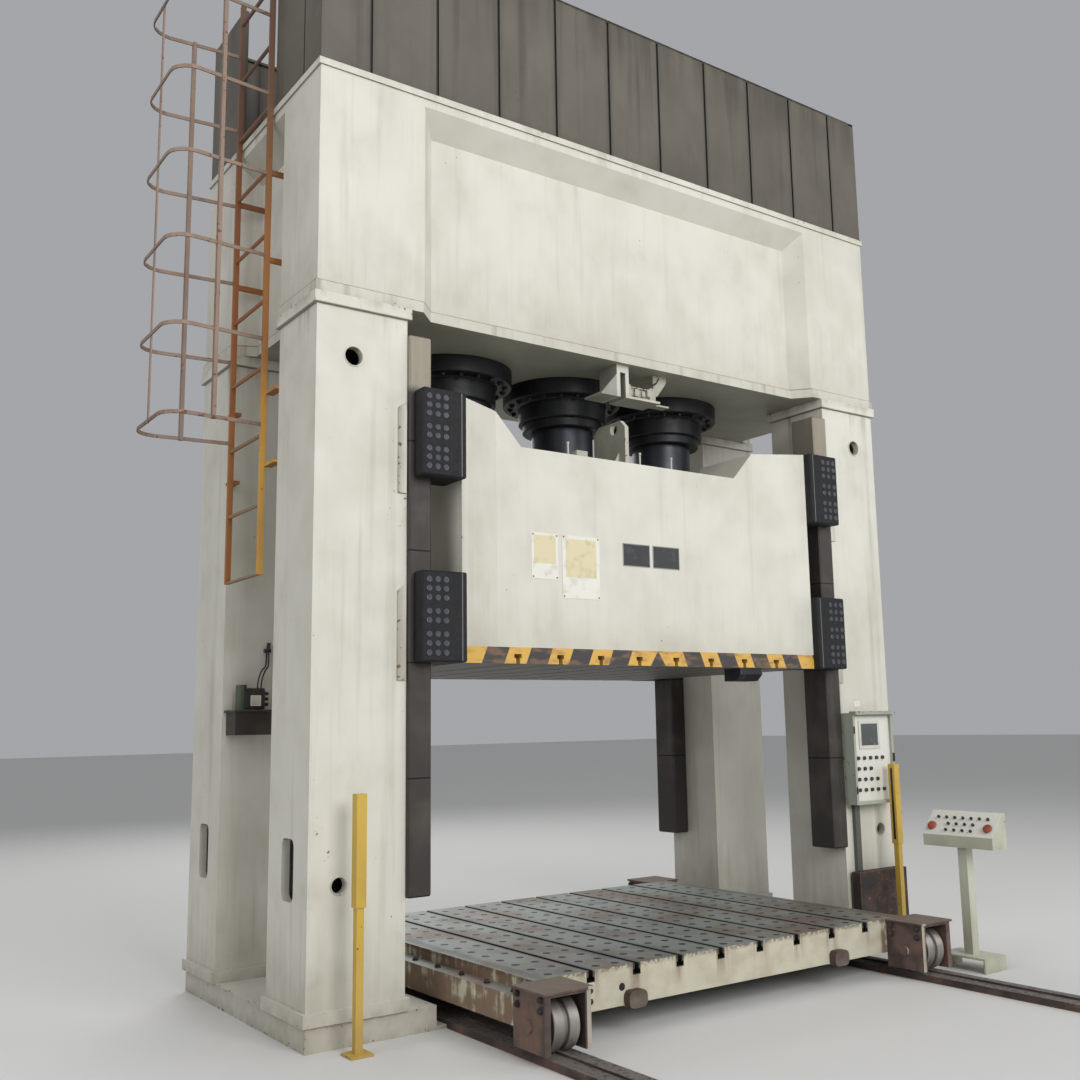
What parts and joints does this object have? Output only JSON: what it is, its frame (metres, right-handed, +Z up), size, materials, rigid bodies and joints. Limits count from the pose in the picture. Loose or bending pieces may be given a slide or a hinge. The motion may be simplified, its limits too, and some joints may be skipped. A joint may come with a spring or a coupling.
{
  "type": "hydraulic press",
  "caption": "Four-column hydraulic press with flanged main cylinders, a guided slide, a rolling T-slotted bolster on floor rails, a caged ladder and a two-hand console.",
  "frame": {"origin": "on the floor, at the centre of the press's bed", "axes": "+Z up, +X to the operator's right, -Y towards the operator"},
  "size_m": [5.1946, 4.8, 6.32],
  "materials": {
    "cream_paint": "satin, worn",
    "sheet_paint": "satin, worn",
    "black_paint": "oily gloss",
    "oiled_steel": "oiled, dark",
    "ground_steel": "ground, worn",
    "ram_chrome": "polished",
    "rusty_casting": "rusty",
    "safety_yellow": "worn",
    "grey_green_paint": "satin",
    "dark_screen": "glossy",
    "red_plastic": "glossy"
  },
  "bodies": {
    "frame": {"bed": "cream_paint", "crown": "cream_paint", "guard_fence": "sheet_paint", "column_left_front": "cream_paint", "column_left_rear": "cream_paint", "column_right_front": "cream_paint", "column_right_rear": "cream_paint", "tie_rod_left_front": "oiled_steel", "tie_rod_left_rear": "oiled_steel", "tie_rod_right_front": "oiled_steel", "tie_rod_right_rear": "oiled_steel", "guide_rail_left_front": "oiled_steel", "guide_rail_left_rear": "oiled_steel", "guide_rail_right_front": "oiled_steel", "guide_rail_right_rear": "oiled_steel", "main_cylinder_1": "black_paint", "main_cylinder_2": "black_paint", "main_cylinder_3": "black_paint", "lock_bracket": "cream_paint", "lock_actuator": "cream_paint", "floor_rail_left": "rusty_casting", "floor_rail_right": "rusty_casting", "ladder": "safety_yellow", "ladder_cage": "safety_yellow", "lube_tank": "black_paint", "lube_pump": "black_paint", "light_curtain_left": "safety_yellow", "light_curtain_right": "safety_yellow", "control_box": "grey_green_paint", "control_screen": "dark_screen", "foot_block": "rusty_casting", "console_stand": "cream_paint", "console_desk": "cream_paint"},
    "slide": {"slide": "cream_paint", "guide_shoe_left_front_lower": "black_paint", "guide_shoe_left_front_upper": "black_paint", "guide_shoe_left_rear_lower": "black_paint", "guide_shoe_left_rear_upper": "black_paint", "guide_shoe_right_front_lower": "black_paint", "guide_shoe_right_front_upper": "black_paint", "guide_shoe_right_rear_lower": "black_paint", "guide_shoe_right_rear_upper": "black_paint", "ram_1": "ram_chrome", "ram_2": "ram_chrome", "ram_3": "ram_chrome", "lock_lug": "cream_paint", "die_clamp": "oiled_steel"},
    "bolster": {"bolster": "ground_steel", "wheel_box_left_front": "rusty_casting", "wheel_box_left_rear": "rusty_casting", "wheel_box_right_front": "rusty_casting", "wheel_box_right_rear": "rusty_casting"},
    "wheel_left_front": {"wheel_left_front": "ground_steel"},
    "wheel_left_rear": {"wheel_left_rear": "ground_steel"},
    "wheel_right_front": {"wheel_right_front": "ground_steel"},
    "wheel_right_rear": {"wheel_right_rear": "ground_steel"},
    "lock_pin": {"lock_pin": "ground_steel"},
    "palm_button_left": {"palm_button_left": "red_plastic"},
    "palm_button_right": {"palm_button_right": "red_plastic"}
  },
  "joints": [
    {"name": "slide_stroke", "type": "slide", "parent": "frame", "child": "slide", "axis": [0, 0, 1], "range_m": [-1, 0.27]},
    {"name": "bolster_travel", "type": "slide", "parent": "frame", "child": "bolster", "axis": [0, 1, 0], "range_m": [-1.1, 0.49]},
    {"name": "wheel_left_front_roll", "type": "hinge", "parent": "bolster", "child": "wheel_left_front", "pos_m": [-1.385, -1.7753, 0.1703], "axis": [1, 0, 0], "range_deg": [-220, 490]},
    {"name": "wheel_left_rear_roll", "type": "hinge", "parent": "bolster", "child": "wheel_left_rear", "pos_m": [-1.385, 0.7953, 0.1703], "axis": [1, 0, 0], "range_deg": [-220, 490]},
    {"name": "wheel_right_front_roll", "type": "hinge", "parent": "bolster", "child": "wheel_right_front", "pos_m": [1.385, -1.7753, 0.1703], "axis": [1, 0, 0], "range_deg": [-220, 490]},
    {"name": "wheel_right_rear_roll", "type": "hinge", "parent": "bolster", "child": "wheel_right_rear", "pos_m": [1.385, 0.7953, 0.1703], "axis": [1, 0, 0], "range_deg": [-220, 490]},
    {"name": "lock_pin_stroke", "type": "slide", "parent": "frame", "child": "lock_pin", "axis": [-1, 0, 0], "range_m": [0, 0.12]},
    {"name": "palm_button_left_press", "type": "slide", "parent": "frame", "child": "palm_button_left", "axis": [0.7704, 0, -0.6375], "range_m": [0, 0.005], "stiffness_N_per_m": 400, "springref_m": -0.005},
    {"name": "palm_button_right_press", "type": "slide", "parent": "frame", "child": "palm_button_right", "axis": [0.7704, 0, -0.6375], "range_m": [0, 0.005], "stiffness_N_per_m": 400, "springref_m": -0.005}
  ],
  "couplings": [
    {"joint": "wheel_left_front_roll", "follows": "bolster_travel", "rad_per_m": -7.6923},
    {"joint": "wheel_left_rear_roll", "follows": "bolster_travel", "rad_per_m": -7.6923},
    {"joint": "wheel_right_front_roll", "follows": "bolster_travel", "rad_per_m": -7.6923},
    {"joint": "wheel_right_rear_roll", "follows": "bolster_travel", "rad_per_m": -7.6923}
  ]
}
